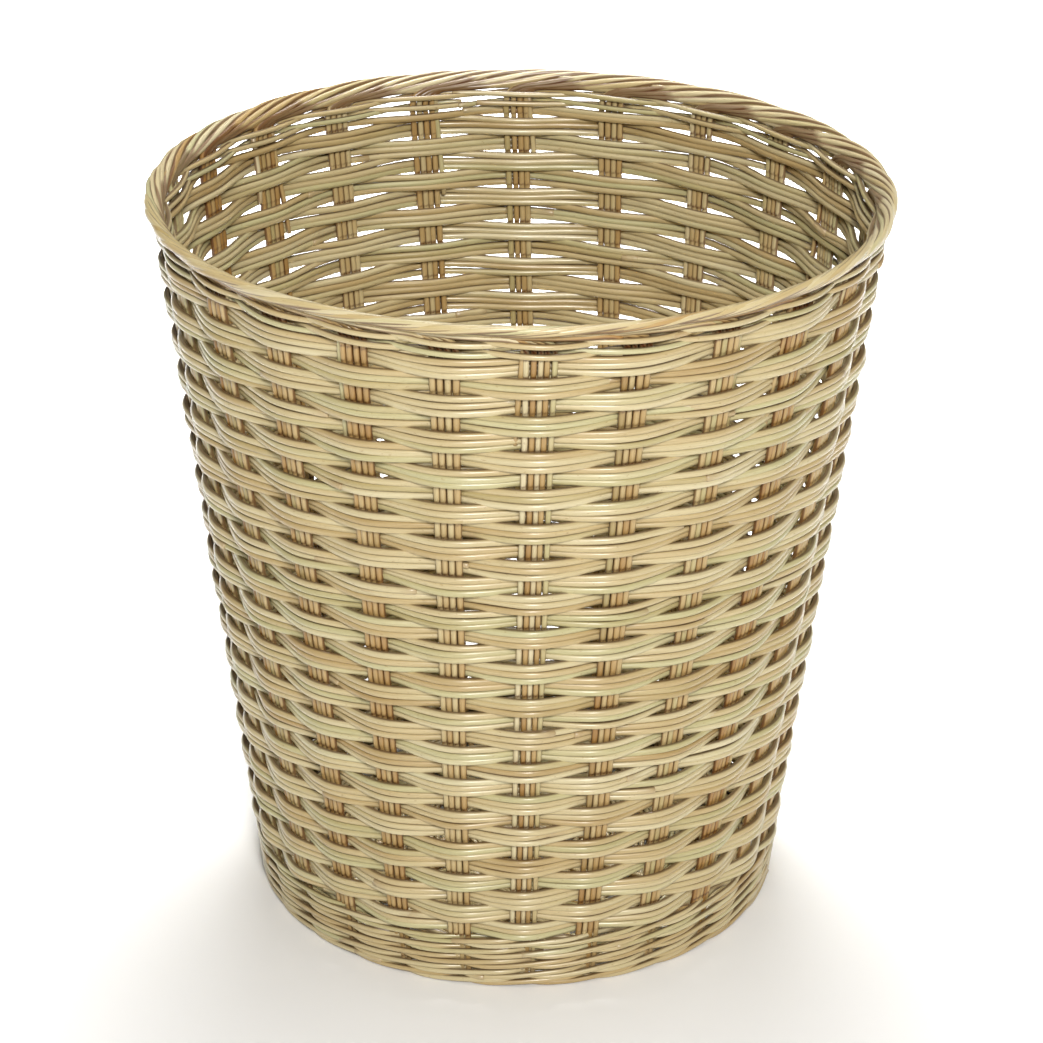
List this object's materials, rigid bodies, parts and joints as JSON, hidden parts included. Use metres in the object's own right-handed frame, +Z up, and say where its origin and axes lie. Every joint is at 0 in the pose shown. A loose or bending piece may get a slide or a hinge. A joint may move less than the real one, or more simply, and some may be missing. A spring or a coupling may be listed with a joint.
{
  "type": "wastebasket",
  "caption": "Round tapering wastebasket woven from thin natural stems, with upright bundled stakes, a flat-banded side weave, a twined foot and a rolled rope-like border round an open top.",
  "frame": {"origin": "centre of the circle that the foot stands on, at floor level", "axes": "+Z up along the basket's axis towards the open top, -Y towards the front, +X to the right"},
  "size_m": [0.2998, 0.3, 0.306],
  "materials": {
    "stake_stems": "satin",
    "weaver_stems": "satin",
    "twined_stems": "satin",
    "base_sticks": "satin"
  },
  "bodies": {
    "root": {"stake_01": "stake_stems", "stake_02": "stake_stems", "stake_03": "stake_stems", "stake_04": "stake_stems", "stake_05": "stake_stems", "stake_06": "stake_stems", "stake_07": "stake_stems", "stake_08": "stake_stems", "stake_09": "stake_stems", "stake_10": "stake_stems", "stake_11": "stake_stems", "stake_12": "stake_stems", "stake_13": "stake_stems", "stake_14": "stake_stems", "stake_15": "stake_stems", "stake_16": "stake_stems", "stake_17": "stake_stems", "stake_18": "stake_stems", "stake_19": "stake_stems", "stake_20": "stake_stems", "stake_21": "stake_stems", "stake_22": "stake_stems", "stake_23": "stake_stems", "side_weave_01": "weaver_stems", "side_weave_02": "weaver_stems", "side_weave_03": "weaver_stems", "side_weave_04": "weaver_stems", "side_weave_05": "weaver_stems", "side_weave_06": "weaver_stems", "side_weave_07": "weaver_stems", "side_weave_08": "weaver_stems", "side_weave_09": "weaver_stems", "side_weave_10": "weaver_stems", "side_weave_11": "weaver_stems", "side_weave_12": "weaver_stems", "side_weave_13": "weaver_stems", "side_weave_14": "weaver_stems", "side_weave_15": "weaver_stems", "side_weave_16": "weaver_stems", "side_weave_17": "weaver_stems", "foot_wale_1": "twined_stems", "foot_wale_2": "twined_stems", "foot_wale_3": "twined_stems", "foot_wale_4": "twined_stems", "foot_edge": "twined_stems", "top_pairing": "twined_stems", "base_binding": "twined_stems", "base_sticks_across": "base_sticks", "base_sticks_along": "base_sticks", "base_weave_1": "weaver_stems", "base_weave_2": "weaver_stems", "base_weave_3": "weaver_stems", "base_weave_4": "weaver_stems", "base_weave_5": "weaver_stems"}
  },
  "joints": []
}
